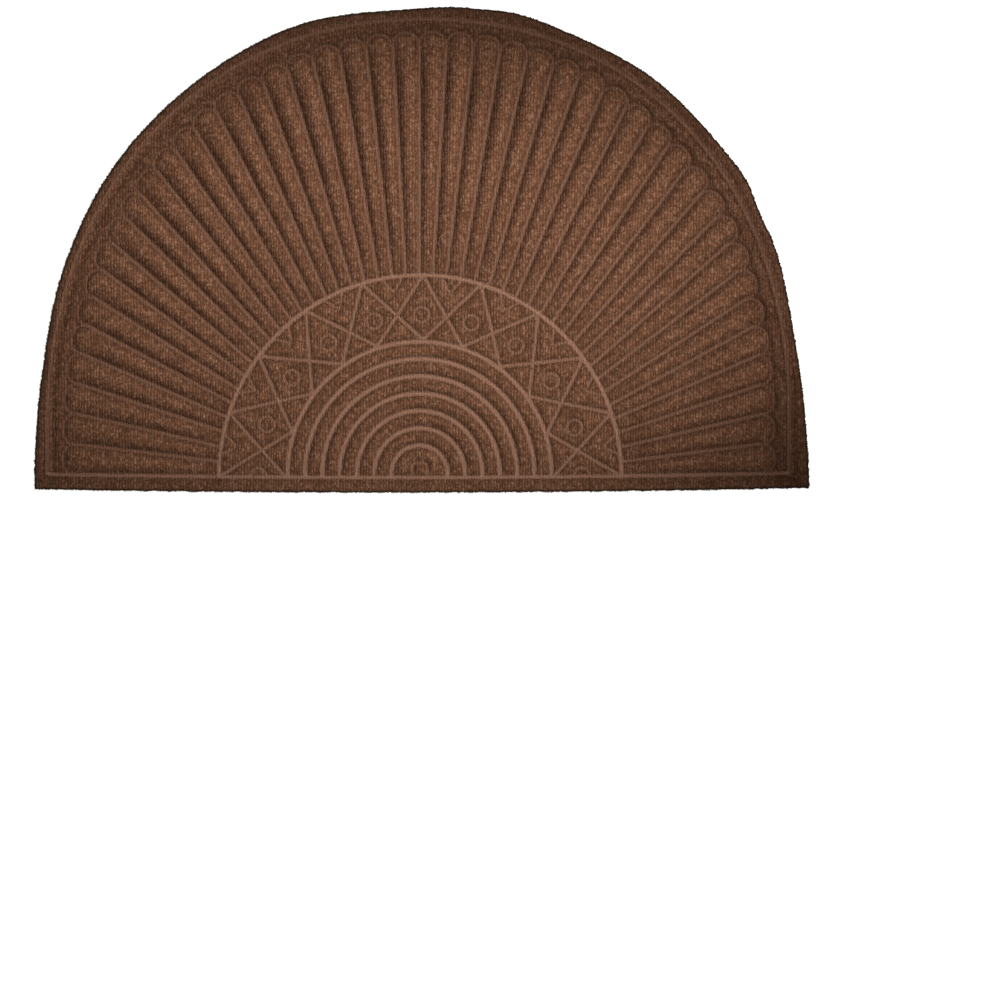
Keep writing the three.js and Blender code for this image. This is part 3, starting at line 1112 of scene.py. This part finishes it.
@dataclass
class Studio:
    """A plain pale floor, soft light and a camera that looks straight down."""

    # The camera: the width of its picture and the point it looks at in metres, its lens and
    # sensor in millimetres, the height in millimetres where the width is taken, and its reach.
    frame_width: float = 1.27577
    aim: tuple[float, float] = (0.09972, -0.31961)
    lens: float = 135
    sensor: float = 36
    face_height: float = 7
    reach: float = 50
    # The key light, in degrees, metres and watts. It is squashed and rolled, so that its pool
    # lies along the mat and fades towards the mat's ends.
    key_azimuth: float = 20
    key_elevation: float = 30
    key_distance: float = 4.0
    key_power: float = 1250
    key_cone: float = 14.9
    key_squash: float = 0.63
    key_roll: float = 21
    key_aim: tuple[float, float] = (-0.045, -0.052)
    key_radius: float = 0.1
    sky_strength: float = 0.19
    # A light table's opal acrylic glows evenly, so the floor is almost white and shows no shadow.
    floor_colour: str = "#f9f9f9"
    floor_roughness: float = 0.9
    floor_glow: float = 1.0
    floor_half: float = 6000

    def build_floor(self) -> bpy.types.Object:
        """Makes the floor.

        Returns:
            The floor.
        """
        material = empty_material("opal_acrylic_light_table")
        shader = add_node(
            material,
            "ShaderNodeBsdfPrincipled",
            {
                "Base Color": linear(self.floor_colour),
                "Roughness": self.floor_roughness,
                "Emission Color": (1, 1, 1, 1),
                "Emission Strength": self.floor_glow,
            },
        )
        add_node(material, "ShaderNodeOutputMaterial", {"Surface": shader.outputs[0]})
        half = self.floor_half
        corners = np.array([[-half, -half, 0], [half, -half, 0], [half, half, 0], [-half, half, 0]])
        floor = mesh_object("floor", corners, [[0, 1, 2, 3]], material)
        return floor

    def build_lights(self) -> None:
        """Makes the key light, low on the right, and the even light of the room."""
        spot = bpy.data.lights.new("key", "SPOT")
        spot.energy = self.key_power
        spot.spot_size = math.radians(self.key_cone)
        spot.spot_blend = 1.0
        spot.shadow_soft_size = self.key_radius
        key = bpy.data.objects.new("key", spot)
        azimuth, elevation = math.radians(self.key_azimuth), math.radians(self.key_elevation)
        away = Vector((*polar(math.cos(elevation), azimuth), math.sin(elevation)))
        key.location = Vector((*self.key_aim, 0)) + away * self.key_distance
        key.rotation_mode = "QUATERNION"
        roll = Quaternion((0, 0, 1), math.radians(self.key_roll))
        key.rotation_quaternion = away.to_track_quat("Z", "Y") @ roll
        key.scale = (1.0, self.key_squash, 1.0)
        bpy.context.scene.collection.objects.link(key)
        world = bpy.data.worlds.new("room")
        world.use_nodes = True
        world.node_tree.nodes.clear()
        inputs = {"Color": (1, 1, 1, 1), "Strength": self.sky_strength}
        sky = add_node(world, "ShaderNodeBackground", inputs)
        add_node(world, "ShaderNodeOutputWorld", {"Surface": sky.outputs[0]})
        bpy.context.scene.world = world

    def build_camera(self) -> bpy.types.Object:
        """Makes the camera.

        Returns:
            The camera.
        """
        lens = bpy.data.cameras.new("camera")
        lens.lens = self.lens
        lens.sensor_width = self.sensor
        lens.clip_end = self.reach
        camera = bpy.data.objects.new("camera", lens)
        distance = self.frame_width * self.lens / self.sensor
        camera.location = (*self.aim, distance + self.face_height * MM)
        bpy.context.scene.collection.objects.link(camera)
        bpy.context.scene.camera = camera
        bpy.context.scene.view_settings.view_transform = "Standard"
        return camera


def main() -> None:
    logging.basicConfig(level=logging.INFO, format="%(name)s: %(message)s")
    studio = Studio()
    studio.build_camera()
    studio.build_lights()
    LOG.info("%s", studio.build_floor().name)

    mat = PressedMat()
    carpet = mat.build()
    LOG.info("%s: %d faces", carpet.name, len(carpet.data.polygons))
    fibres = EdgeFibres(mat).build()
    LOG.info("%s: %d faces", fibres.name, len(fibres.data.polygons))


if __name__ == "__main__":
    main()
